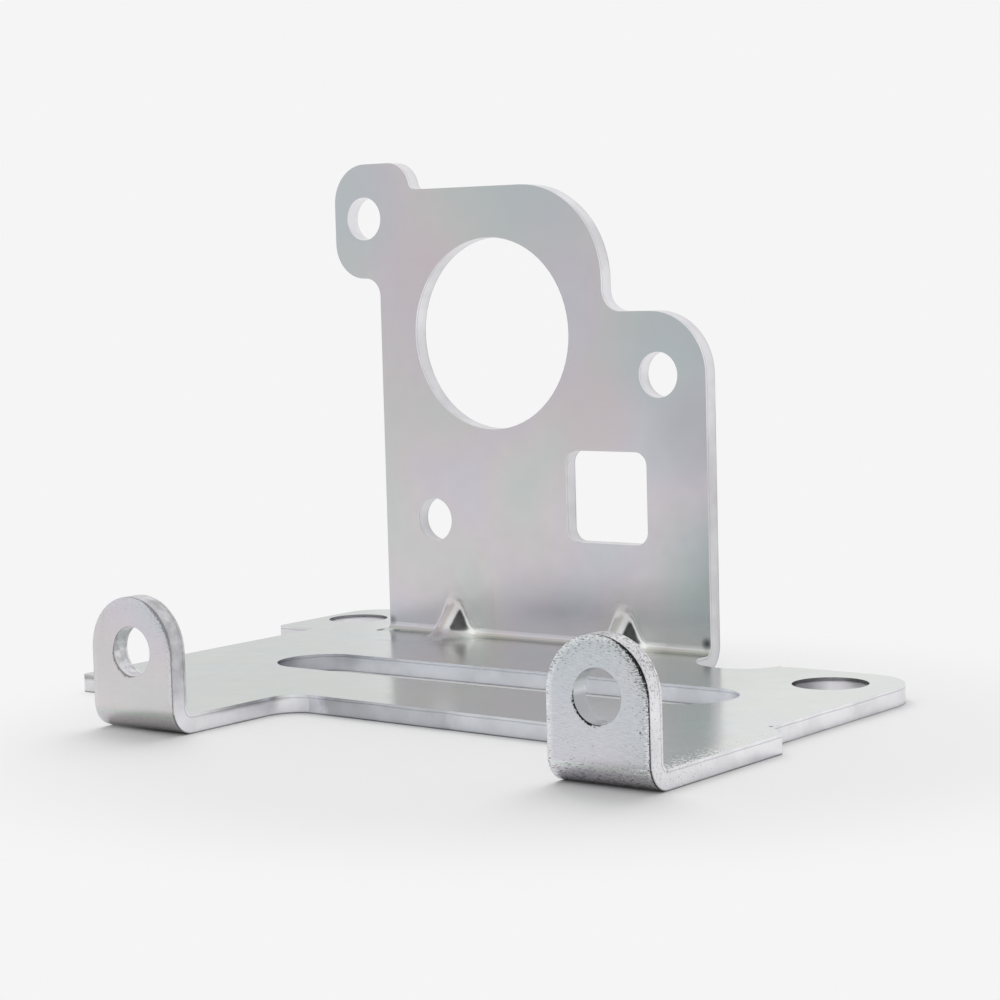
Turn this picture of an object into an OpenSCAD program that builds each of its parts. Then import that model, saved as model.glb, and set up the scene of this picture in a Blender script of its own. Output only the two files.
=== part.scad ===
// Stamped and folded sheet steel bracket: a slotted base plate, a tall back plate
// folded up at the rear and two round-topped ears folded up at the ends of the front arms.
// The origin is on the underside, midway between the ears, in the middle of the front web.
// X runs to the right, Y to the rear and Z up. Sizes are in millimetres.

/* [Sheet] */
// Thickness of the sheet
sheet_t = 2; // [1:0.1:3]
// Inside radius of the fold at the foot of the back plate
back_bend_r = 1; // [0.5:0.1:2]
// Inside radius of the fold at the foot of each ear
ear_bend_r = 0.8; // [0.4:0.1:2]

/* [Ears] */
// Distance between the centres of the two ears
ear_pitch = 58.4; // [54:0.1:64]
// Width of an ear and of the arm that carries it
ear_w = 11.3; // [9:0.1:13]
// Distance from the origin forward to the outer faces of the ears
ear_reach = 24; // [20:0.1:34]
// Height of the ear holes above the underside
ear_hole_z = 8.5; // [7:0.1:14]
// Diameter of the ear holes
ear_hole_d = 5.2; // [3:0.1:6.4]

/* [Base plate] */
// Distance from the centre line to the left side
base_left = 53.6; // [50:0.1:60]
// How far the right side steps in behind the right arm
wing_step = 2.75; // [0.5:0.05:4]
// Where the right side begins to step in, measured from the origin to the rear
step_y = -1.6; // [-5:0.1:3]
// Distance from the origin to the rear edge of the right wing
wing_rear = 33.3; // [32:0.1:35]
// Distance from the origin forward to the web's edge at the left arm
web_front_left = 6.2; // [2:0.1:9]
// Distance from the origin forward to the web's edge at the right arm
web_front_right = 7.9; // [2:0.1:9]
// Distance from the origin forward to the edge beside the left arm
shoulder_front = 8; // [2:0.1:11]
// Radius of the inside corners between the arms and the web
arm_fillet_r = 3.6; // [1:0.1:6]
// Radius of the inside corner on the outer side of the left arm
side_fillet_r = 5; // [1:0.1:7]
// Radius of the rear corner of the right wing
wing_corner_r = 7; // [1:0.1:8]
// Radius of the small outer corners of the base plate
base_corner_r = 0.8; // [0.3:0.1:2]

/* [Slot in the base plate] */
// Distance from the centre line to the left end of the slot
slot_left = 40.3; // [20:0.1:44]
// Distance from the centre line to the right end of the slot
slot_right = 20.5; // [0:0.1:22]
// Distance from the origin to the middle of the slot
slot_y = 12.45; // [10:0.05:15]
// Width of the slot
slot_w = 10.5; // [4:0.1:12]

/* [Wing hole and notch] */
// Centre of the wing hole inwards from the wing's side
wing_hole_in = 7.7; // [5.5:0.1:9]
// Centre of the wing hole forward from the wing's rear edge
wing_hole_back = 7.5; // [5.5:0.1:10]
// Diameter of the wing hole
wing_hole_d = 8.2; // [4:0.1:9]
// Radius of the round-ended notch beside the right end of the back plate
notch_r = 5.6; // [3:0.1:6.5]
// Distance from the origin to the bottom of the notch
notch_y = 29.2; // [26:0.1:31]
// Radius of the outer corner between the notch and the wing's rear edge
notch_lip_r = 1.5; // [0.3:0.1:2]

/* [Rear lug] */
// How far the rear lug stands out from the left side of the base plate
lug_out = 6.1; // [2:0.1:10]
// Distance from the origin to the front edge of the lug
lug_front = 32.2; // [28:0.1:34]
// Distance from the origin to the rear edge of the lug
lug_rear = 50.8; // [48:0.1:60]
// Radius of the lug's rear corners
lug_corner_r = 4.5; // [1:0.1:5.5]
// Centre of the lug hole inwards from the lug's left side
lug_hole_in = 5.1; // [5:0.1:7]
// Distance from the origin to the centre of the lug hole
lug_hole_y = 42; // [38:0.1:44]
// Diameter of the lug hole
lug_hole_d = 7.5; // [4:0.1:8]
// Width of the relief slot between the lug and the back plate
relief_w = 1.2; // [1:0.1:3]
// Distance from the origin to the front end of the relief slot
relief_y = 34.6; // [32:0.1:34.8]

/* [Back plate] */
// Distance from the origin to the front face of the back plate
plate_y = 36.4; // [36:0.1:45]
// Distance from the centre line to the left side of the back plate
plate_left = 44.6; // [44:0.1:46]
// Distance from the centre line to the right side of the back plate
plate_right = 2.7; // [1:0.1:5]
// Height of the top edge above the underside
plate_h = 56.4; // [54:0.1:70]
// How far the upper body's right side lies inwards from the plate's right side
shoulder_in = 14.1; // [11:0.1:15]
// Radius of the round shoulder
shoulder_r = 11.5; // [6:0.1:12]
// Radius of the inside corner at the foot of the shoulder
shoulder_fillet_r = 2.6; // [1:0.1:3.5]
// How far the right tab's upper edge lies below the top edge
right_tab_drop = 15.1; // [14.2:0.1:20]
// Radius of the right tab's corner
right_tab_r = 7.3; // [2:0.1:8]

/* [Top left tab] */
// How far the tab stands out from the left side of the back plate
tab_out = 6.9; // [6.7:0.1:10]
// How far the tab stands above the top edge
tab_rise = 3.35; // [2:0.05:5]
// Width of the tab along its top, down to the top edge of the plate
tab_w = 11.9; // [11:0.1:13.5]
// How far the tab's lower edge lies below the top edge
tab_drop = 10.7; // [9:0.1:13]
// Radius of the tab's lower left corner
tab_low_r = 4.4; // [1:0.1:4.6]
// Radius of the tab's upper left corner
tab_top_r = 4.8; // [1:0.1:6]
// Radius of the inside corner below the tab
tab_fillet_r = 2.2; // [0.5:0.1:2.4]
// Radius of the small inside corner where the tab meets the top edge
tab_rise_r = 1; // [0.4:0.1:2]

/* [Openings of the back plate] */
// Radius of the three plain holes
plate_hole_r = 2.65; // [1.5:0.05:3]
// Centre of the tab hole inwards from the tab's left side
tab_hole_in = 4.6; // [4:0.1:5]
// Centre of the tab hole below the top edge
tab_hole_drop = 3.35; // [2:0.05:5]
// Centre of the large hole inwards from the plate's left side
port_in = 16.9; // [15:0.1:18]
// Centre of the large hole below the top edge
port_drop = 17.6; // [16:0.1:19]
// Diameter of the large hole
port_d = 23; // [16:0.1:26]
// Centre of the right hole inwards from the plate's right side
right_hole_in = 6.45; // [4:0.05:7.5]
// Centre of the right hole below the right tab's upper edge
right_hole_drop = 7.3; // [5:0.1:9]
// Centre of the lower left hole inwards from the plate's left side
low_hole_in = 7.55; // [5:0.05:9]
// Height of the lower left hole
low_hole_z = 16.05; // [14:0.05:18]
// Centre of the window inwards from the plate's right side
window_in = 14.05; // [12:0.05:16]
// Height of the window's centre
window_z = 19.6; // [18:0.1:20.5]
// Width of the window
window_w = 11.5; // [6:0.1:13]
// Height of the window
window_h = 10.85; // [6:0.05:12]
// Radius of the window's corners
window_r = 1.6; // [0.5:0.1:3]

/* [Stiffening darts] */
// Centre of the left dart to the left of the centre line
dart_left_x = 34.3; // [30:0.1:37]
// Centre of the right dart to the left of the centre line
dart_right_x = 9.2; // [7:0.1:14]
// Height and depth of a dart from the inside corner of the fold
dart_size = 4.2; // [4:0.1:7]
// Radius of a dart's ridge
dart_ridge_r = 1.5; // [1:0.1:2.6]
// Angle between a dart's flanks and its middle plane
dart_flare = 34; // [25:1:55]
// Share of the sheet's thickness that stays along a dart's flanks
dart_wall = 0.8; // [0.6:0.05:0.95]
// Smallest radius at the bottom of the groove behind a dart
dart_groove_r = 0.3; // [0.2:0.1:0.8]

/* [Hidden] */
$fn = 96;
sheet_color = "#b9bbc0";
big = 200;

ear_left_x = -ear_pitch / 2;
ear_right_x = ear_pitch / 2;
arm_side_x = ear_right_x + ear_w / 2;
wing_side_x = arm_side_x - wing_step;
lug_side_x = -base_left - lug_out;
relief_x = -plate_left - relief_w;
notch_end_x = plate_right + 2 * notch_r;
ear_bend_y = -ear_reach + sheet_t + ear_bend_r;
back_bend_y = plate_y - back_bend_r;
shoulder_x = plate_right - shoulder_in;
right_tab_h = plate_h - right_tab_drop;
tab_side_x = -plate_left - tab_out;
tab_top_z = plate_h + tab_rise;
tab_low_z = plate_h - tab_drop;
bend_lap = 1;
blend_overlap = 0.01;
flank_share = 0.99;

// The part of a square corner outside its inscribed quarter circle. The corner is at the
// origin and the square lies in the quadrant given by the signs. It rounds an outer
// corner when taken away, and fills an inside corner when added.
module spandrel(r, sx, sy) {
    scale([sx, sy])
        difference() {
            square(r);
            translate([r, r]) circle(r);
        }
}

// A rectangle given by its two opposite corners.
module area(x0, y0, x1, y1) {
    translate([x0, y0]) square([x1 - x0, y1 - y0]);
}

// Flat sheet that lies on the floor, with its underside at z = 0.
module lying_sheet() {
    linear_extrude(sheet_t) children();
}

// Flat sheet that stands across the Y axis. The drawing's second axis becomes height.
module standing_sheet(front_y) {
    translate([0, front_y + sheet_t, 0])
        rotate([90, 0, 0]) linear_extrude(sheet_t) children();
}

// A drawing in the side view, Y and Z, pulled out along X.
module side_profile(x0, width) {
    translate([x0, 0, 0]) rotate([90, 0, 90]) linear_extrude(width) children();
}

// Side view of a fold from the lying sheet to a standing one: a quarter ring with a
// short flat at each end. It is drawn for a fold that rises on the +Y side of y = 0,
// where the bend begins.
module fold_profile(inner_r) {
    outer_r = inner_r + sheet_t;
    intersection() {
        translate([0, outer_r])
            difference() {
                circle(outer_r);
                circle(inner_r);
            }
        square([outer_r, outer_r]);
    }
    area(-bend_lap, 0, 0, sheet_t);
    area(inner_r, outer_r, outer_r, outer_r + bend_lap);
}

// The lying sheet's outer edge.
module base_outline() {
    difference() {
        union() {
            // main field with the left side, and the right wing
            area(-base_left, -shoulder_front, -arm_side_x, back_bend_y);
            polygon([[-arm_side_x - bend_lap, back_bend_y], [-arm_side_x - bend_lap, -web_front_left],
                     [ear_left_x + ear_w / 2, -web_front_left], [ear_right_x - ear_w / 2, -web_front_right],
                     [arm_side_x, -web_front_right], [arm_side_x, step_y],
                     [wing_side_x, step_y + wing_step], [wing_side_x, wing_rear],
                     [plate_right, wing_rear], [plate_right, back_bend_y]]);
            // arms that carry the ears
            for (x = [ear_left_x, ear_right_x])
                area(x - ear_w / 2, ear_bend_y, x + ear_w / 2, step_y);
            // rear lug at the left
            area(lug_side_x, lug_front, relief_x, lug_rear);
            // inside corners beside the arms
            translate([ear_left_x + ear_w / 2, -web_front_left])
                spandrel(arm_fillet_r, 1, -1);
            translate([ear_right_x - ear_w / 2, -web_front_right])
                spandrel(arm_fillet_r, -1, -1);
            translate([ear_left_x - ear_w / 2, -shoulder_front])
                spandrel(side_fillet_r, -1, -1);
        }
        // outer corners
        translate([-base_left, -shoulder_front]) spandrel(base_corner_r, 1, 1);
        translate([wing_side_x, wing_rear]) spandrel(wing_corner_r, -1, -1);
        translate([notch_end_x, wing_rear]) spandrel(notch_lip_r, 1, -1);
        translate([lug_side_x, lug_front]) spandrel(base_corner_r, 1, 1);
        translate([lug_side_x, lug_rear]) spandrel(lug_corner_r, 1, -1);
        translate([relief_x, lug_rear]) spandrel(lug_corner_r, -1, -1);
    }
}

// Everything punched through the lying sheet.
module base_openings() {
    slot_r = slot_w / 2;
    slot_ends = [-slot_left + slot_r, slot_right - slot_r];
    for (x = slot_ends) translate([x, slot_y]) circle(slot_r);
    area(slot_ends[0], slot_y - slot_r, slot_ends[1], slot_y + slot_r);
    translate([wing_side_x - wing_hole_in, wing_rear - wing_hole_back]) circle(d = wing_hole_d);
    translate([lug_side_x + lug_hole_in, lug_hole_y]) circle(d = lug_hole_d);
    // round-ended notch at the right end of the fold
    translate([plate_right + notch_r, notch_y + notch_r]) circle(notch_r);
    area(plate_right, notch_y + notch_r, notch_end_x, lug_rear);
    // relief slot at the left end of the fold
    translate([relief_x + relief_w / 2, relief_y + relief_w / 2]) circle(relief_w / 2);
    area(relief_x, relief_y + relief_w / 2, -plate_left, lug_rear);
}

// The back plate's outer edge, in the X and Z view.
module plate_outline() {
    foot_z = sheet_t + back_bend_r;
    arc_x = tab_side_x + tab_w - tab_rise;
    blend_x = arc_x + sqrt(pow(tab_rise + tab_rise_r - blend_overlap, 2) - pow(tab_rise_r, 2));
    difference() {
        union() {
            area(-plate_left, foot_z, shoulder_x, plate_h);
            area(shoulder_x, foot_z, plate_right, right_tab_h);
            // tab at the top left, with a quarter round down to the top edge
            area(tab_side_x, tab_low_z, arc_x, tab_top_z);
            translate([arc_x, plate_h]) circle(tab_rise);
            difference() {
                polygon([[arc_x, plate_h], [blend_x, plate_h + tab_rise_r], [blend_x, plate_h]]);
                translate([blend_x, plate_h + tab_rise_r]) circle(tab_rise_r);
            }
            // inside corners below the tab and beside the round shoulder
            translate([-plate_left, tab_low_z]) spandrel(tab_fillet_r, -1, -1);
            translate([shoulder_x, right_tab_h]) spandrel(shoulder_fillet_r, 1, 1);
        }
        // outer corners
        translate([tab_side_x, tab_low_z]) spandrel(tab_low_r, 1, 1);
        translate([tab_side_x, tab_top_z]) spandrel(tab_top_r, 1, -1);
        translate([shoulder_x, plate_h]) spandrel(shoulder_r, -1, -1);
        translate([plate_right, right_tab_h]) spandrel(right_tab_r, -1, -1);
    }
}

// A rectangle about the origin with round corners.
module rounded_window(w, h, r) {
    area(-w / 2 + r, -h / 2, w / 2 - r, h / 2);
    area(-w / 2, -h / 2 + r, w / 2, h / 2 - r);
    for (x = [-1, 1], y = [-1, 1])
        translate([x * (w / 2 - r), y * (h / 2 - r)]) circle(r);
}

// Everything punched through the back plate.
module plate_openings() {
    translate([-plate_left + port_in, plate_h - port_drop]) circle(d = port_d);
    translate([tab_side_x + tab_hole_in, plate_h - tab_hole_drop]) circle(plate_hole_r);
    translate([plate_right - right_hole_in, right_tab_h - right_hole_drop]) circle(plate_hole_r);
    translate([-plate_left + low_hole_in, low_hole_z]) circle(plate_hole_r);
    translate([plate_right - window_in, window_z]) rounded_window(window_w, window_h, window_r);
}

// Cross-section of a dart: a round ridge on flanks that flare out. The ridge points along +Y.
// The flanks pass a little inside the circle's tangents, so that they cross it clearly.
module dart_section(tip, r) {
    depth = 3 * sheet_t;
    top_x = flank_share * r * cos(dart_flare);
    top_y = tip - r + flank_share * r * sin(dart_flare);
    foot_x = top_x + (top_y + depth) * tan(dart_flare);
    translate([0, tip - r]) circle(r);
    polygon([[-foot_x, -depth], [-top_x, top_y], [top_x, top_y], [foot_x, -depth]]);
}

// A dart's section carried along the 45 degree line across the inside corner of the fold.
module dart_bar(x, tip, r) {
    translate([x, plate_y, sheet_t]) rotate([135, 0, 0])
        linear_extrude(4 * dart_size, center = true) dart_section(tip, r);
}

// The ridge of a dart on the inside of the fold, ending within the sheet.
module dart_ridge(x) {
    intersection() {
        dart_bar(x, dart_size / sqrt(2), dart_ridge_r);
        translate([-big / 2, plate_y + sheet_t / 2 - big, sheet_t / 2]) cube(big);
    }
}

// The groove that the punch leaves on the outside of the fold. Its flanks keep the wall's
// distance from the ridge's flanks.
module dart_groove(x) {
    wall = dart_wall * sheet_t;
    groove_r = max(dart_ridge_r - wall, dart_groove_r);
    drop = (wall - flank_share * (dart_ridge_r - groove_r)) / sin(dart_flare);
    dart_bar(x, dart_size / sqrt(2) - dart_ridge_r - drop + groove_r, groove_r);
}

// The lying sheet with its openings.
module base_plate() {
    lying_sheet()
        difference() {
            base_outline();
            base_openings();
        }
}

// One ear with its fold: a full round top over a hole.
module ear(x) {
    translate([0, ear_bend_y, 0]) mirror([0, 1, 0])
        side_profile(x - ear_w / 2, ear_w) fold_profile(ear_bend_r);
    standing_sheet(-ear_reach)
        difference() {
            union() {
                area(x - ear_w / 2, sheet_t + ear_bend_r, x + ear_w / 2, ear_hole_z);
                translate([x, ear_hole_z]) circle(ear_w / 2);
            }
            translate([x, ear_hole_z]) circle(d = ear_hole_d);
        }
}

// The back plate with its fold.
module back_plate() {
    translate([0, back_bend_y, 0])
        side_profile(-plate_left, plate_left + plate_right) fold_profile(back_bend_r);
    standing_sheet(plate_y)
        difference() {
            plate_outline();
            plate_openings();
        }
}

module bracket() {
    dart_places = [-dart_left_x, -dart_right_x];
    color(sheet_color)
        difference() {
            union() {
                base_plate();
                back_plate();
                for (x = [ear_left_x, ear_right_x]) ear(x);
                for (x = dart_places) dart_ridge(x);
            }
            for (x = dart_places) dart_groove(x);
        }
}

bracket();
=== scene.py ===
import math

import bmesh
import bpy
import numpy as np
from mathutils import Matrix, Vector


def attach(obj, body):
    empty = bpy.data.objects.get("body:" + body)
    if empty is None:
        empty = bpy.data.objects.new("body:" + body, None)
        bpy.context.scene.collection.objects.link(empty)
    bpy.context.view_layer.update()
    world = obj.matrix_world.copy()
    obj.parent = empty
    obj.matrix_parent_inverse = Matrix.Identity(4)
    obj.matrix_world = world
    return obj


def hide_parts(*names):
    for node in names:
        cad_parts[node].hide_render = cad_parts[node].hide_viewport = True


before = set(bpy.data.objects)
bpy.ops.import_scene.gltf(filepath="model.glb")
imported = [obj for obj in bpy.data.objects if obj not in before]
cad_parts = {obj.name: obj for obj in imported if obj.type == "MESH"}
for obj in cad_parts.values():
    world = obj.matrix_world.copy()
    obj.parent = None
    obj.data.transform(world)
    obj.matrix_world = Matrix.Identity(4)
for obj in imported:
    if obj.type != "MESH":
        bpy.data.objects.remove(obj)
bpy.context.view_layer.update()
scene = bpy.context.scene
scene.view_settings.view_transform = "Standard"

# Folded sheet
# One blank of 2 mm cold-rolled steel, punched, folded up at the two front ears and at the
# back plate, and then zinc plated. Its solid is kept, with each arris a little rounded.

MM = 0.001  # one millimetre in the scene's metres
SHEET = 2.0  # thickness of the sheet, mm
PLATE_FRONT = 36.4  # front face of the back plate, mm behind the origin
PLATE_SPAN = (-45.0, 3.0)  # the rear fold lies between these, mm to the right
FLAT_TOP = SHEET + 0.5  # what stands higher than this is folded up, mm
EAR_FRONT = -24.0  # outer face of the ears
EAR_BACK = -20.0  # an ear and its fold lie in front of this, mm
EAR_PITCH, EAR_WIDTH = 58.4, 11.3  # between the ears' middles, and across an ear, mm
EAR_HOLE_Z, EAR_HOLE_R = 8.5, 2.6  # height of an ear's hole, and its radius, mm
PLATE_BEND, EAR_BEND = 1.0, 0.8  # inside radii of the folds, mm
DART_X = (-34.3, -9.2)  # middles of the two darts
DART_ROOM = (6.0, 8.0)  # half width and reach of a box that holds a dart, mm
EDGE_ROUND = 0.13  # radius that punching and plating leave on each arris, mm
WELD = 0.002  # corners closer than this are one, mm
ONE_PLANE = math.radians(0.5)  # faces that turn less than this lie in one plane
CREASE = math.radians(25)  # the shading breaks where faces turn more than this
ARRIS = math.radians(35)  # an arris that turns more than this is rounded


def through_sheet(p):
    """How far each point lies through the sheet's thickness: 1 on the face that looks up
    from the base and inwards from the folds, 0 on the underside and the outer side.
    On the flat parts it is the distance from the outer face over the thickness. In a fold
    it is the outer radius less the distance from the fold's axis, over the thickness."""
    x, y, z = p.T
    base = z / SHEET
    plate = (PLATE_FRONT + SHEET - y) / SHEET
    ear = (y - EAR_FRONT) / SHEET
    back_axis = (PLATE_FRONT - PLATE_BEND, SHEET + PLATE_BEND)
    ear_axis = (EAR_FRONT + SHEET + EAR_BEND, SHEET + EAR_BEND)
    in_back = (y > back_axis[0]) & (z < back_axis[1]) & (x > PLATE_SPAN[0]) & (x < PLATE_SPAN[1])
    in_ear = (y < ear_axis[0]) & (z < ear_axis[1])
    back = (PLATE_BEND + SHEET - np.hypot(y - back_axis[0], z - back_axis[1])) / SHEET
    front = (EAR_BEND + SHEET - np.hypot(y - ear_axis[0], z - ear_axis[1])) / SHEET
    t = np.where(z > FLAT_TOP, np.where(y > 0, plate, ear), base)
    t = np.where(in_back, back, t)
    t = np.where(in_ear, front, t)
    return np.clip(t, 0, 1)


def merged_copy(node, name):
    """The node's solid as one closed skin: its loose triangles joined at their corners,
    and those that lie in one plane made into one face."""
    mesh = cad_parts[node].data.copy()
    mesh.name = name
    skin = bmesh.new()
    skin.from_mesh(mesh)
    bmesh.ops.remove_doubles(skin, verts=skin.verts, dist=WELD * MM)
    bmesh.ops.dissolve_limit(skin, angle_limit=ONE_PLANE, verts=skin.verts, edges=skin.edges,
                             delimit={"NORMAL"})
    skin.to_mesh(mesh)
    skin.free()
    return mesh


sheet_mesh = merged_copy("bracket", "folded_sheet")
sheet_mesh.materials.clear()
corners = np.empty(len(sheet_mesh.vertices) * 3)
sheet_mesh.vertices.foreach_get("co", corners)
through = through_sheet(corners.reshape(-1, 3) / MM)
sheet_mesh.attributes.new("through", "FLOAT", "POINT").data.foreach_set("value", through)

# A face is a sheared edge if it runs from one side of the sheet to the other, and isn't
# part of a dart.
is_cut = np.zeros(len(sheet_mesh.polygons), bool)
for k, face in enumerate(sheet_mesh.polygons):
    x, y, z = (v / MM for v in face.center)
    in_dart = (min(abs(x - place) for place in DART_X) < DART_ROOM[0]
               and y > PLATE_FRONT - DART_ROOM[1] and z < SHEET + DART_ROOM[1])
    is_cut[k] = np.ptp(through[list(face.vertices)]) > 0.5 and not in_dart
sheet_mesh.polygons.foreach_set("material_index", is_cut.astype(np.int32))
sheet_mesh.shade_smooth()
sheet_mesh.set_sharp_from_angle(angle=CREASE)

bracket = bpy.data.objects.new("folded_sheet", sheet_mesh)
scene.collection.objects.link(bracket)
rounding = bracket.modifiers.new("rounded_arris", "BEVEL")
rounding.width = EDGE_ROUND * MM
rounding.segments = 3
rounding.limit_method = "ANGLE"
rounding.angle_limit = ARRIS
rounding.harden_normals = True
rounding.miter_outer = "MITER_ARC"
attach(bracket, "root")
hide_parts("bracket")


def linear(hexa):
    """An sRGB hex colour as the linear RGBA that Blender's sockets take."""
    c = np.array([int(hexa[i:i + 2], 16) for i in (1, 3, 5)]) / 255
    c = np.where(c <= 0.04045, c / 12.92, ((c + 0.055) / 1.055) ** 2.4)
    return (*c, 1.0)


def add(tree, kind, inputs=(), out=0, stops=(), **settings):
    """Adds a shader node and returns one of its outputs. Inputs go by place or by name,
    and are values, hex colours or outputs to link. Those of a MapRange are a value, the
    two levels that it runs between, and what these two become. Stops are a ramp's places
    and tones, in rising order."""
    node = tree.nodes.new("ShaderNode" + kind)
    for key, value in settings.items():
        setattr(node, key, value)
    pairs = inputs.items() if isinstance(inputs, dict) else enumerate(inputs)
    for key, value in pairs:
        if isinstance(value, bpy.types.NodeSocket):
            tree.links.new(value, node.inputs[key])
        else:
            node.inputs[key].default_value = linear(value) if isinstance(value, str) else value
    for k, (place, tone) in enumerate(stops):
        ramp = node.color_ramp.elements
        stop = ramp[k] if k < 2 else ramp.new(place)
        stop.position = place
        stop.color = linear(tone) if isinstance(tone, str) else (tone, tone, tone, 1)
    return node.outputs[out]


def new_tree(name):
    """An empty node material, its tree and its output node."""
    material = bpy.data.materials.new(name)
    material.use_nodes = True
    tree = material.node_tree
    tree.nodes.clear()
    return material, tree, tree.nodes.new("ShaderNodeOutputMaterial")


def place_in_mm(tree):
    """The shaded point's place on the object in millimetres: as a vector, and its x, y, z."""
    place = add(tree, "TexCoord", out=3)
    where = add(tree, "VectorMath", [place, (1 / MM,) * 3], operation="MULTIPLY")
    return where, *add(tree, "SeparateXYZ", [where]).node.outputs


# Its faces are bright electroplated zinc under a clear passivation. The eye sees a bluish
# white metal with faint pink and green clouds, and pits and dark grazes on the ears.
PLATE_CASTS = (  # middle of a clouded spot in mm, its reach in mm, and its tone
    ((-2, 36.4, 38), 14, "#C0CCCD"), ((-52, 36.4, 54), 13, "#C1CCCF"),
    ((-20, 36.4, 57), 15, "#C3CACF"), ((3, 36.4, 12), 10, "#BECACB"),
    ((-38, 36.4, 46), 8, "#D4C9CE"), ((-13, 36.4, 29), 8, "#D3C9CE"),
    ((28, -24, 13), 9, "#BFC9CD"), ((34, -24, 6), 7, "#C6CCD0"), ((1, 36.4, 27), 8, "#BEBEC5"))
PAINTED_SHADE_SPOTS = (  # middle of a spot of painted shade in mm, its reach in mm, and its depth of tone
    ((2.2, 36.1, 3.3), 0.9, 0.8), ((-44.2, 36.1, 3.2), 0.8, 0.5),
    ((32.0, 1.2, 2.0), 0.35, 0.9), ((33.8, -24.0, 5.6), 0.16, 0.8))
GRAZE = (0.4, 0.25, 0.11)  # length, depth and height of a graze, mm
BRUSH_MARK = (1.0, 0.3, 0.09)  # the same of a brush mark, drawn coarse so that it shows

zinc, tree, out = new_tree("bright_zinc_plating")
where, x, y, z = place_in_mm(tree)

# Clouds of cast 17 mm across, uneven tone 4 mm across, and the spots of cast.
cast = add(tree, "TexNoise", {"Vector": where, "Scale": 1 / 17, "Detail": 1.5, "Roughness": 0.4})
tone = add(tree, "ValToRGB", [cast], stops=[(0.34, "#CDD1D0"), (0.45, "#D4D0D1"),
                                            (0.55, "#D3CED5"), (0.66, "#CED0D7")])
cloud = add(tree, "TexNoise", {"Vector": where, "Scale": 1 / 4, "Detail": 4, "Roughness": 0.6})
cloud = add(tree, "MapRange", [cloud, 0.3, 0.7, 0.965, 1.0])
tone = add(tree, "VectorMath", [tone, cloud], operation="MULTIPLY")
for middle, size, cast in PLATE_CASTS:
    away = add(tree, "VectorMath", [where, middle], out=1, operation="DISTANCE")
    spread = add(tree, "MapRange", [away, size, size * 0.2, 0.0, 0.7],
                 interpolation_type="SMOOTHSTEP")
    tone = add(tree, "Mix", {0: spread, 6: tone, 7: cast}, out=2, data_type="RGBA")

# The base's upper face has a greener cast, which turns paler towards the wing.
on_base = add(tree, "Math", [z, SHEET, 0.3], operation="COMPARE")
on_base = add(tree, "Math", [on_base, 0.6], operation="MULTIPLY")
to_wing = add(tree, "MapRange", [x, 8.0, 24.0])
base_cast = add(tree, "Mix", {0: to_wing, 6: "#CAD3CD", 7: "#DEE5DF"}, out=2, data_type="RGBA")
tone = add(tree, "Mix", {0: on_base, 6: tone, 7: base_cast}, out=2, data_type="RGBA")

# Where on an ear's outer side a point lies: dx and dz from the middle of its round top,
# and the distance in from the ear's edge and out from its hole.
side = add(tree, "Math", [x], operation="SIGN")
dx = add(tree, "Math", [side, -EAR_PITCH / 2, x], operation="MULTIPLY_ADD")
dz = add(tree, "Math", [z, EAR_HOLE_Z], operation="SUBTRACT")
up = add(tree, "Math", [dz, 0.0], operation="MAXIMUM")
to_top = add(tree, "CombineXYZ", [dx, up])
to_hole = add(tree, "CombineXYZ", [dx, dz])
from_top = add(tree, "VectorMath", [to_top], out=1, operation="LENGTH")
from_hole = add(tree, "VectorMath", [to_hole], out=1, operation="LENGTH")
edge_in = add(tree, "Math", [EAR_WIDTH / 2, from_top], operation="SUBTRACT")
hole_out = add(tree, "Math", [from_hole, EAR_HOLE_R], operation="SUBTRACT")
through = add(tree, "Attribute", out=2, attribute_name="through")
outer = add(tree, "Math", [through, 0.5], operation="LESS_THAN")
on_ear = add(tree, "Math", [y, EAR_BACK + 1.0], operation="LESS_THAN")
on_ear = add(tree, "Math", [on_ear, outer], operation="MULTIPLY")

# Painted shade of the rolled burr: a torn, dark line along the right-hand arris of each ear,
# heaviest at its shoulder, with teeth of 0.25 mm.
lean = add(tree, "Math", [dx, 0.8], operation="MULTIPLY")
lean = add(tree, "Math", [up, 0.55, lean], operation="MULTIPLY_ADD")
thin = add(tree, "MapRange", [lean, 2.0, 4.4, 0.0, 0.10])
thick = add(tree, "MapRange", [lean, 4.3, 5.2, 0.0, 0.40])
ragged = add(tree, "TexNoise", {"Vector": where, "Scale": 1 / 0.25, "Detail": 5, "Roughness": 0.8})
ragged = add(tree, "MapRange", [ragged, 0.36, 0.64, 0.1, 1.7])
reach = add(tree, "Math", [thin, thick], operation="ADD")
reach = add(tree, "Math", [reach, ragged], operation="MULTIPLY")
painted_burr_shade = add(tree, "Math", [edge_in, reach], operation="SUBTRACT")
painted_burr_shade = add(tree, "MapRange", [painted_burr_shade, -0.03, 0.03, 1.0, 0.0])

# A thinner line of painted shade at the lower left of each hole. Both are fainter on the left ear.
low_left = add(tree, "Math", [dx, dz], operation="ADD")
low_left = add(tree, "MapRange", [low_left, -2.0, -3.5, 0.0, 0.24])
rim = add(tree, "Math", [low_left, ragged], operation="MULTIPLY")
rim = add(tree, "Math", [hole_out, rim], operation="SUBTRACT")
rim = add(tree, "MapRange", [rim, -0.02, 0.03, 1.0, 0.0])
faint = add(tree, "MapRange", [x, -1.0, 1.0, 0.6, 1.0])
dark = add(tree, "Math", [painted_burr_shade, rim], operation="MAXIMUM")
dark = add(tree, "Math", [dark, faint], operation="MULTIPLY")

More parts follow.
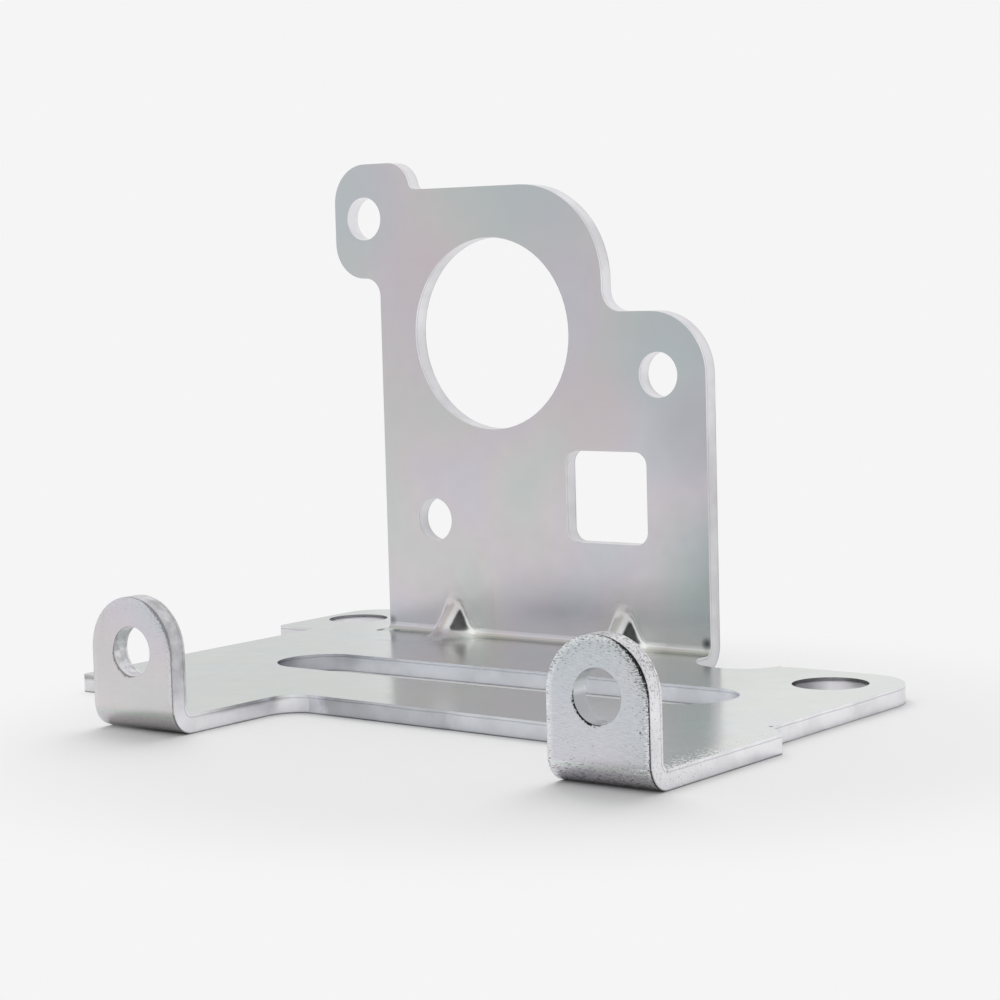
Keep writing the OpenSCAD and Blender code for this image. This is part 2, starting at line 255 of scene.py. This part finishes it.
# Short level grazes lie thick beside that arris, inside the round top and on the fold, in
# patches of 1.8 mm. Those along the rest of the arris come and go every 1.1 mm. The left
# ear has few.
strokes = add(tree, "VectorMath", [where, [1 / v for v in GRAZE]], operation="MULTIPLY")
strokes = add(tree, "TexNoise", {"Vector": strokes, "Scale": 1.0, "Detail": 3, "Roughness": 0.65})
right_side = add(tree, "MapRange", [lean, 2.4, 4.6])
round_top = add(tree, "MapRange", [dz, 1.0, 3.0, 0.0, 0.55])
arris = add(tree, "MapRange", [edge_in, 0.15, 0.7, 1.0, 0.0])
spare = add(tree, "TexNoise", {"Vector": where, "Scale": 1 / 1.1, "Detail": 2, "Roughness": 0.5})
spare = add(tree, "MapRange", [spare, 0.42, 0.62, 0.0, 0.95])
arris = add(tree, "Math", [arris, spare], operation="MULTIPLY")
thickly = add(tree, "Math", [right_side, round_top], operation="MAXIMUM")
thickly = add(tree, "Math", [thickly, arris], operation="MAXIMUM")
near_edge = add(tree, "MapRange", [edge_in, 0.3, 2.2, 1.0, 0.0])
near_edge = add(tree, "Math", [near_edge, thickly], operation="MULTIPLY")
above = add(tree, "MapRange", [dz, -4.0, 1.0, 0.9, 1.6])
near_edge = add(tree, "Math", [near_edge, above], operation="MULTIPLY")
near_fold = add(tree, "MapRange", [z, 0.6, 3.0, 1.0, 0.0])
dense = add(tree, "Math", [near_edge, near_fold], operation="MAXIMUM")
patch = add(tree, "TexNoise", {"Vector": where, "Scale": 1 / 1.8, "Detail": 2, "Roughness": 0.5})
dense = add(tree, "Math", [patch, 0.9, dense], operation="MULTIPLY_ADD")
level = add(tree, "Math", [dense, -0.11, 0.675], operation="MULTIPLY_ADD")
graze = add(tree, "Math", [strokes, level], operation="SUBTRACT")
graze = add(tree, "MapRange", [graze, 0.0, 0.06, 0.0, 0.62])
worn = add(tree, "MapRange", [x, -1.0, 1.0, 0.25, 1.0])
graze = add(tree, "Math", [graze, worn], operation="MULTIPLY")
dark = add(tree, "Math", [dark, graze], operation="MAXIMUM")
dark = add(tree, "Math", [dark, on_ear], operation="MULTIPLY")

# A bright line just inside an ear's edge.
rub = add(tree, "MapRange", [edge_in, 0.25, 0.75, 0.55, 0.0])
for mask in (ragged, on_ear, worn):
    rub = add(tree, "Math", [rub, mask], operation="MULTIPLY")
tone = add(tree, "Mix", {0: rub, 6: tone, 7: "#F2F4F4"}, out=2, data_type="RGBA")

# Pale frosted grains of 0.3 mm on the base, along the arris of the right arm.
grains = add(tree, "TexNoise", {"Vector": where, "Scale": 1 / 0.3, "Detail": 2, "Roughness": 0.6})
beside = add(tree, "MapRange", [x, 30.5, 34.6, 0.76, 0.49])
grains = add(tree, "Math", [grains, beside], operation="SUBTRACT")
grains = add(tree, "MapRange", [grains, 0.0, 0.06, 0.0, 1.1])
ahead = add(tree, "MapRange", [y, -1.0, -4.0])
for mask in (on_base, ahead):
    grains = add(tree, "Math", [grains, mask], operation="MULTIPLY")
tone = add(tree, "Mix", {0: grains, 6: tone, 7: "#FFFFFF"}, out=2, data_type="RGBA")

# Painted shade in small dark spots: at the ends of the rear fold, in the corner of the side step,
# and on an ear.
for middle, size, depth in PAINTED_SHADE_SPOTS:
    away = add(tree, "VectorMath", [where, middle], out=1, operation="DISTANCE")
    shade_spot = add(tree, "MapRange", [away, size * 0.35, size, depth, 0.0])
    dark = add(tree, "Math", [dark, shade_spot], operation="MAXIMUM")
tone = add(tree, "Mix", {0: dark, 6: tone, 7: "#26282A"}, out=2, data_type="RGBA")

# Painted shade on the ears' folds, dark where they meet the underside, and painted light a little
# above it.
painted_fold_shade = add(tree, "MapRange", [z, 0.0, 8.0])
painted_fold_shade = add(tree, "ValToRGB", [painted_fold_shade], stops=[(0.0, 0.35), (0.1, 0.90), (0.28, 1.06), (1.0, 1.0)])
painted_fold_shade = add(tree, "Mix", {0: on_ear, 2: 1.0, 3: painted_fold_shade})

# Fine level brush marks on the ears and on the front of the arms.
front = add(tree, "MapRange", [y, -9.0, -14.0])
front = add(tree, "Math", [front, worn], operation="MULTIPLY")
hatch = add(tree, "VectorMath", [where, [1 / v for v in BRUSH_MARK]], operation="MULTIPLY")
hatch = add(tree, "TexNoise", {"Vector": hatch, "Scale": 1.0, "Detail": 3, "Roughness": 0.7})
brushed = add(tree, "MapRange", [hatch, 0.3, 0.7, 0.93, 1.19])
brushed = add(tree, "Mix", {0: front, 2: 1.0, 3: brushed})
for shade in (painted_fold_shade, brushed):
    tone = add(tree, "VectorMath", [tone, shade], operation="MULTIPLY")

# A painted highlight on the fold beside the foot of each dart.
foot = add(tree, "Attribute", out=2, attribute_name="foot")
tone = add(tree, "Mix", {0: foot, 6: tone, 7: "#FAFCFA"}, out=2, data_type="RGBA")

# The gloss is uneven every 3 mm, and duller in the grazes and the painted shade, on the darts and
# in the frost.
sheen = add(tree, "TexNoise", {"Vector": where, "Scale": 1 / 3, "Detail": 4, "Roughness": 0.65})
sheen = add(tree, "MapRange", [sheen, 0.3, 0.7, 0.17, 0.23])
stretched = add(tree, "Attribute", out=2, attribute_name="stretched")
for mask, duller in ((dark, 0.3), (stretched, 0.06), (grains, 0.6)):
    sheen = add(tree, "Math", [mask, duller, sheen], operation="MULTIPLY_ADD")
pores = add(tree, "Math", [strokes, hatch], operation="ADD")
pores = add(tree, "Math", [pores, front], operation="MULTIPLY")
grain = add(tree, "Bump", {"Height": pores, "Strength": 0.5, "Distance": 0.02 * MM})
surface = add(tree, "BsdfPrincipled", {"Base Color": tone, "Roughness": sheen, "Normal": grain,
                                       "Metallic": 1.0})
tree.links.new(surface, out.inputs[0])

# Its punched edges: the punch leaves a smooth band and below it a torn, matt one, with an
# uneven darker line between them, all zinc plated. The eye sees a pale, patchy stripe.
SLOT_BOX = (-10.0, 31.5, 12.5, 6.0)  # middle and half size in x, then in y, mm
WEB_BOX = (0.0, 23.8, -6.0, 3.8)  # the front edge between the arms
LEFT_EAR_BOX = (-29.0, 8.0, -23.0, 3.0)
LEFT_END = -45.0  # the left end of the base lies beyond this x
WEB_REAR = -1.0  # the web, the arms and the left end lie in front of this y
PLATE_EDGE = 33.0  # the edge of the back plate lies behind this y
RIGHT_EDGE = 22.0  # the right arm and ear lie beyond this x
WEB_BEND = -20.79  # x where the left arm's inside corner meets the web
WING_HOLE, WING_HOLE_R = (24.4, 25.8, 1.0), 4.1  # middle of the hole's wall, and its radius
LUG_HOLE, LUG_HOLE_R = (-54.6, 42.0, 1.0), 3.75
HOLE_MARGIN = 0.6  # a hole's wall is taken to lie within its radius and this, mm

shear, tree, out = new_tree("zinc_plated_sheared_edge")
where, x, y, z = place_in_mm(tree)

# Depth through the sheet, point by point: R - |max(A - p, 0)| over the thickness, with the
# fold's axis A and its outer radius R, which is right on the flats too.
span_middle = (PLATE_SPAN[0] + PLATE_SPAN[1]) / 2
span_half = (PLATE_SPAN[1] - PLATE_SPAN[0]) / 2
by_plate = add(tree, "Math", [x, span_middle, span_half], operation="COMPARE")
behind = add(tree, "Math", [y, PLATE_BEND - PLATE_FRONT], operation="ADD")
behind = add(tree, "Math", [behind, by_plate], operation="MULTIPLY")
ahead = add(tree, "Math", [EAR_FRONT + SHEET + EAR_BEND, y], operation="SUBTRACT")
out_y = add(tree, "Math", [behind, ahead], operation="MAXIMUM")
out_y = add(tree, "Math", [out_y, 0.0], operation="MAXIMUM")
radius = add(tree, "Math", [y, 0.0], operation="GREATER_THAN")
radius = add(tree, "Math", [radius, PLATE_BEND - EAR_BEND, SHEET + EAR_BEND],
             operation="MULTIPLY_ADD")
out_z = add(tree, "Math", [radius, z], operation="SUBTRACT")
out_z = add(tree, "Math", [out_z, 0.0], operation="MAXIMUM")
away = add(tree, "CombineXYZ", [out_y, out_z])
away = add(tree, "VectorMath", [away], out=1, operation="LENGTH")
through = add(tree, "Math", [radius, away], operation="SUBTRACT")
through = add(tree, "Math", [through, SHEET], operation="DIVIDE")

# The bands, whose line wanders every 4 mm, and blotches 5 mm across.
wander = add(tree, "TexNoise", {"Vector": where, "Scale": 1 / 4, "Detail": 3, "Roughness": 0.5})
level = add(tree, "Math", [wander, 0.10, through], operation="MULTIPLY_ADD")
# The ramp turns dark towards the underside: painted contact shade.
tone = add(tree, "ValToRGB", [level], stops=[(0.0, "#8A8A8E"), (0.13, "#E0DFE3"),
                                             (0.84, "#E5E4E7"), (0.895, "#C2C1C6"),
                                             (0.95, "#E7E6E9"), (1.0, "#E2E1E4")])
blotch = add(tree, "TexNoise", {"Vector": where, "Scale": 1 / 5, "Detail": 3, "Roughness": 0.6})
blotch = add(tree, "ValToRGB", [blotch], stops=[(0.35, 0.86), (0.6, 1.0)])

# Dark flecks of 0.25 mm on the right ear and the front of its arm, more near the ear's top.
fine = add(tree, "TexNoise", {"Vector": where, "Scale": 1 / 0.25, "Detail": 3, "Roughness": 0.7})
higher = add(tree, "MapRange", [z, 7.0, 12.0, 0.0, 0.08])
flecks = add(tree, "Math", [fine, higher], operation="ADD")
flecks = add(tree, "ValToRGB", [flecks], stops=[(0.30, 0.85), (0.46, 1.0), (0.57, 1.0),
                                                (0.68, 0.45)])
at_right = add(tree, "Math", [x, RIGHT_EDGE], operation="GREATER_THAN")
forward = add(tree, "MapRange", [y, -10.0, -20.0])
by_ear = add(tree, "Math", [at_right, forward], operation="MULTIPLY")
flecks = add(tree, "Mix", {0: by_ear, 2: 1.0, 3: flecks})
for shade in (blotch, flecks):
    tone = add(tree, "VectorMath", [tone, shade], operation="MULTIPLY")


def in_box(x_middle, x_half, y_middle, y_half):
    """1 where x and y both lie within their half size of their middle, and 0 elsewhere."""
    across = add(tree, "Math", [x, x_middle, x_half], operation="COMPARE")
    along = add(tree, "Math", [y, y_middle, y_half], operation="COMPARE")
    return add(tree, "Math", [across, along], operation="MULTIPLY")


def near(middle, reach):
    """1 where a point lies within reach of the middle, and 0 elsewhere."""
    away = add(tree, "VectorMath", [where, middle], out=1, operation="DISTANCE")
    return add(tree, "Math", [away, reach], operation="LESS_THAN")


# Painted light and shade, stretch by stretch: the wing gets brighter along x, the arms are
# brightest low down, the slot has a dull left end, and the plate is duller low down.
in_front = add(tree, "Math", [y, WEB_REAR], operation="LESS_THAN")
at_left_end = add(tree, "Math", [x, LEFT_END], operation="LESS_THAN")
at_slot = in_box(*SLOT_BOX)
at_plate = add(tree, "Math", [y, PLATE_EDGE], operation="GREATER_THAN")
light = add(tree, "MapRange", [x, 20.0, 30.0, 1.0, 1.19])
arm = add(tree, "MapRange", [z, 8.0, 12.0, 1.25, 1.14])
slot = add(tree, "MapRange", [x, -40.2, -34.0, 0.66, 1.15])
plate = add(tree, "MapRange", [z, 20.0, 36.0, 0.90, 1.08])

# Painted light and shade on the web between the arms: patches with ragged ends along x, and
# duller towards the end of the left arm's inside corner.
at_web = in_box(*WEB_BOX)
ripple = add(tree, "TexNoise", {"Vector": where, "Scale": 1 / 1.6, "Detail": 4, "Roughness": 0.65})
ripple = add(tree, "Math", [ripple, 4.0, x], operation="MULTIPLY_ADD")
web = add(tree, "MapRange", [ripple, -22.0, 26.0])
web = add(tree, "ValToRGB", [web], stops=[(0.0, 1.16), (0.09, 1.16), (0.125, 0.726), (0.18, 0.726),
                                          (0.26, 0.823), (0.46, 0.823), (0.49, 0.968),
                                          (0.92, 0.968), (1.0, 1.16)])
turn_in = add(tree, "MapRange", [x, -23.4, WEB_BEND, 1.07, 0.85])
in_corner = add(tree, "Math", [x, WEB_BEND], operation="LESS_THAN")
turn_in = add(tree, "Mix", {0: in_corner, 2: 1.0, 3: turn_in})
web = add(tree, "Math", [web, turn_in], operation="MULTIPLY")

# Painted light and shade on the walls of the wing's and the lug's holes: brighter low down, dark at
# the top, and the wing's dark at its left too.
wall = add(tree, "MapRange", [through, 0.72, 0.84, 1.28, 0.42])
shaded = add(tree, "MapRange", [x, 20.6, 22.4, 0.45, 1.0])
wing_wall = add(tree, "Math", [wall, shaded], operation="MULTIPLY")

# The left ear is mottled above its fold, in spots of 2.4 mm.
at_left_ear = in_box(*LEFT_EAR_BOX)
rise = add(tree, "MapRange", [z, 3.5, 7.0])
at_left_ear = add(tree, "Math", [at_left_ear, rise], operation="MULTIPLY")
mottle = add(tree, "TexNoise", {"Vector": where, "Scale": 1 / 2.4, "Detail": 3, "Roughness": 0.6})
mottle = add(tree, "MapRange", [mottle, 0.38, 0.62, 0.60, 0.97])

# The wall of the right ear's hole has a painted reflection, a bright band a little above its
# middle, and the left one's has chatter marks 0.9 mm apart.
dx = add(tree, "Math", [x], operation="ABSOLUTE")
dx = add(tree, "Math", [dx, EAR_PITCH / 2], operation="SUBTRACT")
dz = add(tree, "Math", [z, EAR_HOLE_Z], operation="SUBTRACT")
from_hole = add(tree, "CombineXYZ", [dx, dz])
from_hole = add(tree, "VectorMath", [from_hole], out=1, operation="LENGTH")
in_hole = add(tree, "Math", [from_hole, EAR_HOLE_R + 0.1], operation="LESS_THAN")
on_ear = add(tree, "Math", [y, EAR_BACK], operation="LESS_THAN")
in_hole = add(tree, "Math", [in_hole, on_ear], operation="MULTIPLY")
to_the_right = add(tree, "Math", [x, 0.0], operation="GREATER_THAN")
lit = add(tree, "MapRange", [z, EAR_HOLE_Z - EAR_HOLE_R, EAR_HOLE_Z + EAR_HOLE_R])
lit = add(tree, "ValToRGB", [lit], stops=[(0.46, 0.63), (0.55, 1.02), (0.70, 1.02), (0.80, 0.66)])
chatter = add(tree, "TexNoise", {"Vector": where, "Scale": 1 / 0.9, "Detail": 2, "Roughness": 0.6})
chatter = add(tree, "ValToRGB", [chatter], stops=[(0.40, 0.90), (0.54, 1.18)])
ear_wall = add(tree, "Mix", {0: to_the_right, 2: chatter, 3: lit})

for mask, brightness in ((in_front, arm), (at_left_end, 1.0), (at_slot, slot), (at_plate, plate),
                         (at_web, web), (near(WING_HOLE, WING_HOLE_R + HOLE_MARGIN), wing_wall),
                         (near(LUG_HOLE, LUG_HOLE_R + HOLE_MARGIN), wall),
                         (at_left_ear, mottle), (in_hole, ear_wall)):
    light = add(tree, "Mix", {0: mask, 2: light, 3: brightness})

# Painted contact shade: a dark line along the underside, weaker towards the rear.
low = add(tree, "Math", [z, SHEET + 0.3], operation="LESS_THAN")
nearer = add(tree, "MapRange", [y, 0.0, 6.0, 1.0, 0.35])
low = add(tree, "Math", [low, nearer], operation="MULTIPLY")
painted_contact_shade = add(tree, "MapRange", [through, 0.02, 0.09, 0.38, 1.0])
painted_contact_shade = add(tree, "Mix", {0: low, 2: 1.0, 3: painted_contact_shade})

# The smooth band is duller on the left arm and on the front of the base's left side.
on_arm = add(tree, "MapRange", [y, -20.5, -16.0])
to_the_left = add(tree, "MapRange", [x, -22.4, -23.4])
for mask in (to_the_left, in_front):
    on_arm = add(tree, "Math", [on_arm, mask], operation="MULTIPLY")
burnish = add(tree, "MapRange", [level, 0.72, 0.84, 1.0, 0.66])
burnish = add(tree, "Mix", {0: on_arm, 2: 1.0, 3: burnish})

# The right ear's hole has one plain tone, and the web and the slot a cooler cast.
plain = add(tree, "Math", [in_hole, to_the_right], operation="MULTIPLY")
tone = add(tree, "Mix", {0: plain, 6: tone, 7: "#DADCE0"}, out=2, data_type="RGBA")
cool = add(tree, "MapRange", [x, -23.4, -20.0])
cooler = add(tree, "MapRange", [x, 22.0, 14.0])
for mask in (cooler, low):
    cool = add(tree, "Math", [cool, mask], operation="MULTIPLY")
cool = add(tree, "Math", [cool, at_slot], operation="MAXIMUM")
cool = add(tree, "Mix", {0: cool, 6: "#FFFFFF", 7: "#F9FDFF"}, out=2, data_type="RGBA")
for shade in (light, painted_contact_shade, burnish, cool):
    tone = add(tree, "VectorMath", [tone, shade], operation="MULTIPLY")

# The torn band is rougher than the smooth one, and both have a grain as fine as the flecks.
sheen = add(tree, "MapRange", [level, 0.84, 0.94, 0.30, 0.2])
grain = add(tree, "Bump", {"Height": fine, "Strength": 0.25, "Distance": 0.03 * MM})
surface = add(tree, "BsdfPrincipled", {"Base Color": tone, "Roughness": sheen, "Normal": grain,
                                       "Metallic": 1.0})
tree.links.new(surface, out.inputs[0])

for material in (zinc, shear):
    sheet_mesh.materials.append(material)

# Pressed darts
# Two stiffening darts, pressed from outside into the inner corner of the rear fold. The
# steel flows, so each ridge runs into the plate, the fold and the base without a crease.

DART_TIP = 4.2 / math.sqrt(2)  # from the sharp inner corner to the ridge, mm
DART_RIDGE = 1.5  # radius of the ridge
DART_FLARE = math.radians(34)  # between a flank and the dart's middle plane
DART_BLEND = (0.8, 2.2)  # reach of the blends at the plate and at the base, mm of height
SKIN_HALF = (6.0, 5.6)  # half size of the skin along the fold and up its plane, mm
SKIN_LIFT = 0.008  # the skin lies this far over the solid, mm
SKIN_STEP = 0.1  # mesh step, mm


def dart_skin(name, middle):
    """The inner surface about one dart, as heights s over a plane that leans 45 degrees
    across the inner corner. With a along the fold from the dart's middle and u up the
    plane from the corner, the flats are s = |u|, the fold between them is the arc
    s = sqrt(2) R - sqrt(R^2 - u^2), and the ridge is s = tip - r + sqrt(r^2 - a^2) with
    straight flanks beyond it. Where the two heights differ by d < k, the greater one is
    lifted by (k - d)^2 / (4 k), which blends them. k grows from the plate to the base."""
    half_a, half_u = SKIN_HALF
    a = np.linspace(-half_a, half_a, int(2 * half_a / SKIN_STEP) + 1)[:, None]
    u = np.linspace(-half_u, half_u, int(2 * half_u / SKIN_STEP) + 1)[None, :]
    bend = PLATE_BEND
    arc = math.sqrt(2) * bend - np.sqrt(np.maximum(bend ** 2 - u ** 2, 0))
    fold = np.where(np.abs(u) < bend / math.sqrt(2), arc, np.abs(u)) + 0 * a
    turn = DART_RIDGE * math.cos(DART_FLARE)
    crown = DART_TIP - DART_RIDGE + np.sqrt(np.maximum(DART_RIDGE ** 2 - a ** 2, 0))
    shoulder = DART_TIP - DART_RIDGE * (1 - math.sin(DART_FLARE))
    flank = shoulder - (np.abs(a) - turn) / math.tan(DART_FLARE)
    ridge = np.where(np.abs(a) < turn, crown, flank) + 0 * u
    k = np.interp(u, (-1.5, 1.5), DART_BLEND[::-1])
    gap = np.abs(fold - ridge)
    s = np.maximum(fold, ridge) + np.maximum(k - gap, 0) ** 2 / (4 * k)
    s = s + SKIN_LIFT
    x = middle + a + 0 * u
    y = PLATE_FRONT + (u - s) / math.sqrt(2)
    z = SHEET + (u + s) / math.sqrt(2)
    rows, columns = x.shape
    n = np.arange(rows * columns).reshape(rows, columns)
    faces = np.stack((n[:-1, :-1], n[1:, :-1], n[1:, 1:], n[:-1, 1:]), -1).reshape(-1, 4)
    mesh = bpy.data.meshes.new(name)
    mesh.from_pydata(np.stack((x, y, z), -1).reshape(-1, 3) * MM, [], faces.tolist())

    # The steel is stretched, and so duller, on the ridge and fading out round it. A painted
    # highlight lies on the fold at each dart's foot, a spot of 1.9 by 1.3 mm to the right of the
    # ridge.
    around = np.clip(1.15 - gap / 2.5, 0, 1) * (ridge > fold - 2.0)
    stretched = np.where(ridge > fold, np.clip(0.4 + around + gap, 0, 1), around)
    foot = np.exp(-((a - 2.6) / 1.9) ** 2 - ((u + 0.2) / 1.3) ** 2)
    for key, value in (("stretched", stretched), ("foot", foot)):
        mesh.attributes.new(key, "FLOAT", "POINT").data.foreach_set("value", value.reshape(-1))
    mesh.shade_smooth()
    mesh.materials.append(zinc)
    skin = bpy.data.objects.new(name, mesh)
    scene.collection.objects.link(skin)
    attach(skin, "root")


dart_skin("left_dart", DART_X[0])
dart_skin("right_dart", DART_X[1])

# Studio
# White table paper that runs out into a pale backdrop, a large soft box above and behind,
# and cloth flags from black to pale, which only reflections see.

PAPER = "#F4F4F4"
PAPER_HALF = 3.0  # half the side of the table paper, m
BACKDROP = 0.913  # the backdrop's level, sRGB 245
AMBIENT = 0.60  # level of the room's light
WHITE = (1, 1, 1, 1)
FADE_MIDDLE = (0.007, 0.0, 0.0)  # the paper fades into the backdrop round this point, m
FADE = (0.040, 0.071)  # the fade begins and ends this far from that point, m


def rectangle(name, width, height, material):
    """A flat mesh of the given size about the origin, in the plane of x and y."""
    w, h = width / 2, height / 2
    mesh = bpy.data.meshes.new(name)
    mesh.from_pydata([(-w, -h, 0), (w, -h, 0), (w, h, 0), (-w, h, 0)], [], [(0, 1, 2, 3)])
    mesh.materials.append(material)
    return mesh


def is_seen(tree):
    """1 for a ray from the camera, off a gloss or through glass, and 0 for the light's."""
    rays = add(tree, "LightPath").node.outputs
    seen = add(tree, "Math", [rays["Is Camera Ray"], rays["Is Glossy Ray"]], operation="ADD",
               use_clamp=True)
    return add(tree, "Math", [seen, rays["Is Transmission Ray"]], operation="ADD", use_clamp=True)


paper, tree, out = new_tree("white_table_paper")
matt = add(tree, "BsdfPrincipled", {"Base Color": PAPER, "Roughness": 0.9,
                                    "Specular IOR Level": 0.0})
pale = add(tree, "Emission", {"Color": WHITE, "Strength": BACKDROP})
place = add(tree, "TexCoord", out=3)
far = add(tree, "VectorMath", [place, FADE_MIDDLE], out=1, operation="DISTANCE")
far = add(tree, "MapRange", [far, *FADE], interpolation_type="SMOOTHSTEP")
far = add(tree, "Math", [far, is_seen(tree)], operation="MULTIPLY")
tree.links.new(add(tree, "MixShader", [far, matt, pale]), out.inputs[0])
floor_mesh = rectangle("table_paper", 2 * PAPER_HALF, 2 * PAPER_HALF, paper)
floor = bpy.data.objects.new("table_paper", floor_mesh)
scene.collection.objects.link(floor)

world = bpy.data.worlds.new("studio")
scene.world = world
world.use_nodes = True
tree = world.node_tree
tree.nodes.clear()
out = tree.nodes.new("ShaderNodeOutputWorld")
room = add(tree, "Background", {"Color": WHITE, "Strength": AMBIENT})
pale = add(tree, "Background", {"Color": WHITE, "Strength": BACKDROP})
tree.links.new(add(tree, "MixShader", [is_seen(tree), room, pale]), out.inputs[0])


def set_and_aim(thing, place, aim):
    """Puts a lamp or a card at place and turns its -Z towards aim."""
    thing.location = place
    thing.rotation_mode = "QUATERNION"
    thing.rotation_quaternion = (Vector(aim) - Vector(place)).to_track_quat("-Z", "Y")
    scene.collection.objects.link(thing)


lamp = bpy.data.lights.new("soft_box", "AREA")
lamp.shape = "SQUARE"
lamp.size = 0.9
lamp.energy = 4.9
soft_box = bpy.data.objects.new("soft_box", lamp)
soft_box.visible_camera = False
soft_box.visible_glossy = False
set_and_aim(soft_box, (-0.28, 0.48, 0.76), (0, 0, 0))


def flag(name, place, width, height, tone):
    """A cloth card at place, facing the part, which only reflections see. It gives off
    its tone, so that the tone shows as written whatever the lamp does."""
    cloth, tree, out = new_tree(name + "_cloth")
    tree.links.new(add(tree, "Emission", {"Color": tone}), out.inputs[0])
    card = bpy.data.objects.new(name, rectangle(name, width, height, cloth))
    card.visible_camera = False
    card.visible_shadow = False
    card.visible_diffuse = False
    set_and_aim(card, place, (0, 0, 0.01))


flag("dark_flag", (0.48, 0.07, 0.37), 0.62, 0.48, "#0A0A0A")
flag("deep_grey_flag", (0.16, -0.83, 0.26), 0.34, 0.34, "#909090")
flag("grey_flag", (-0.109, -0.258, 0.08), 0.11, 0.16, "#B8B8B8")
flag("pale_grey_flag", (-0.198, -0.198, 0.08), 0.11, 0.16, "#E4E4E4")
flag("pale_flag", (-0.72, 0.54, 0.20), 0.40, 0.42, "#EAEAEA")
flag("warm_flag", (-0.54, -0.08, 0.71), 0.70, 0.60, "#DAD7D0")

# Camera
# Solved from the photograph: edges and hole rims of known planes fix its place, its
# turn about each axis and its focal length.

YAW, PITCH, ROLL = 37.189, 5.279, 1.538  # degrees: to the left, down, and clockwise
CAMERA_AT = (162.14, -212.76, 47.70)  # mm from the origin
FOCAL = 2.6094  # focal length over the picture's width

a, b, c = (math.radians(v) for v in (YAW, PITCH, ROLL))
forward = Vector((-math.sin(a) * math.cos(b), math.cos(a) * math.cos(b), -math.sin(b)))
level_right = Vector((math.cos(a), math.sin(a), 0))
level_down = forward.cross(level_right)
right = math.cos(c) * level_right + math.sin(c) * level_down
down = -math.sin(c) * level_right + math.cos(c) * level_down
lens = bpy.data.cameras.new("camera")
lens.sensor_width = 36.0
lens.lens = FOCAL * lens.sensor_width
lens.clip_start, lens.clip_end = 0.01, 20.0
camera = bpy.data.objects.new("camera", lens)
turn = Matrix((right, -down, -forward)).transposed().to_4x4()
camera.matrix_world = Matrix.Translation(Vector(CAMERA_AT) * MM) @ turn
scene.collection.objects.link(camera)
scene.camera = camera
